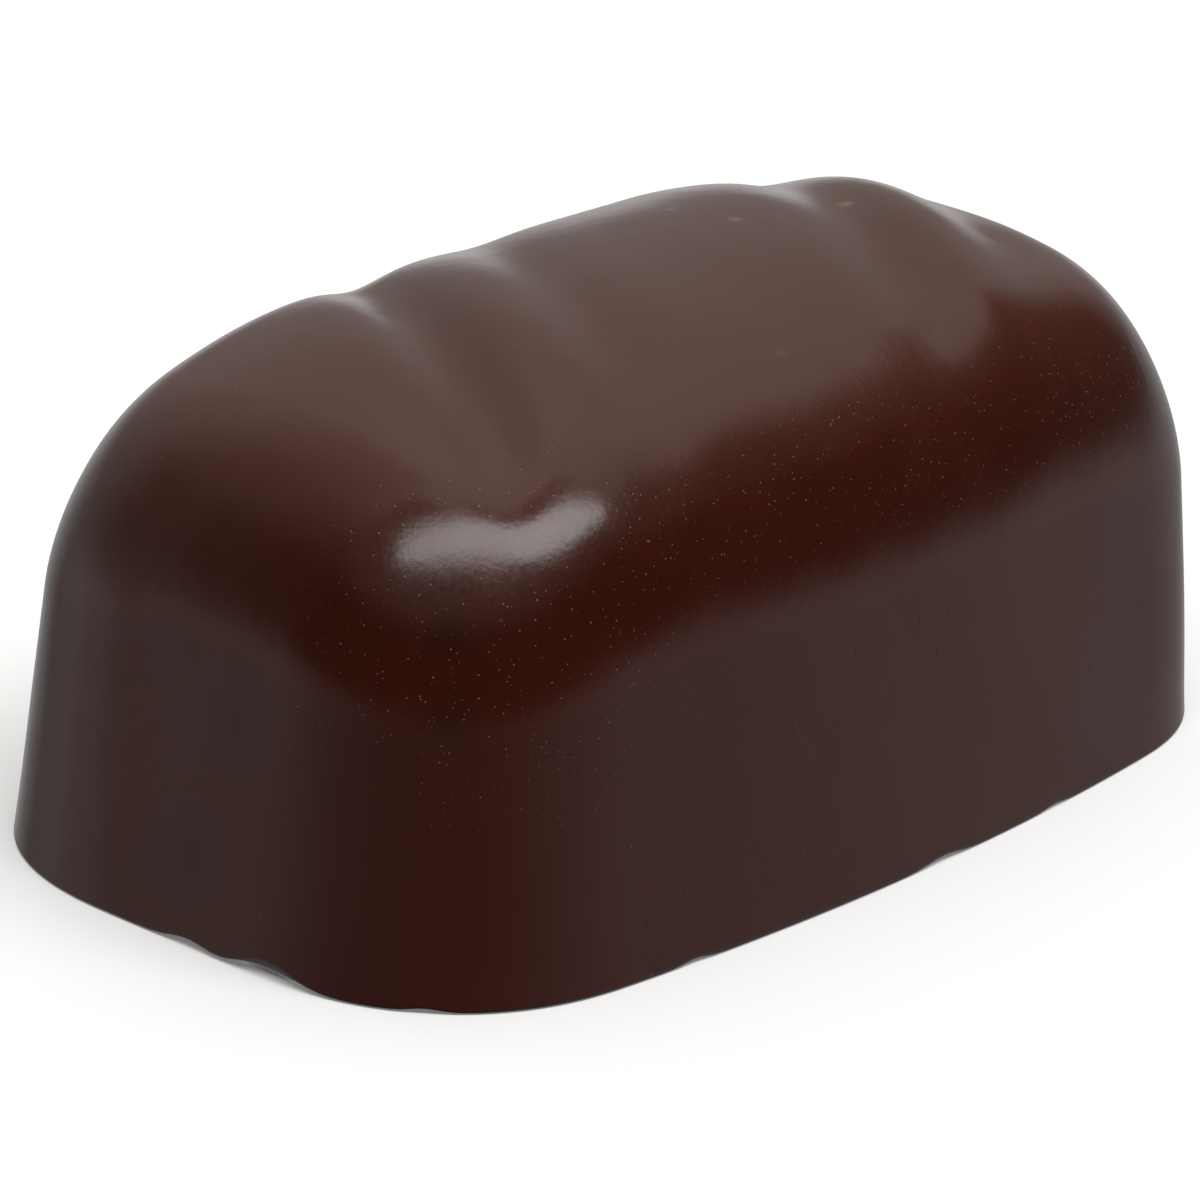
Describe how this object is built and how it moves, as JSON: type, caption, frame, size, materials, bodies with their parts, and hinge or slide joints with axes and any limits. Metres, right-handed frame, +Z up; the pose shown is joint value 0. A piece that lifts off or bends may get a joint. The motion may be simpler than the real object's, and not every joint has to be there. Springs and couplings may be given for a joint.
{
  "type": "mint-filled chocolate",
  "caption": "Whole moulded dark chocolate praline: leaning walls, soft shoulders and an arched top crossed by a slanted rib near each end.",
  "frame": {"origin": "middle of the flat base, on the surface it stands on", "axes": "+X along the long axis, +Z up through the crest of the arched top"},
  "size_m": [0.038, 0.0224, 0.0159],
  "materials": {
    "dark_chocolate": "dark chocolate with a soft sheen, fine dust, pits and scuffs"
  },
  "bodies": {
    "root": {"chocolate": "dark_chocolate"}
  },
  "joints": []
}
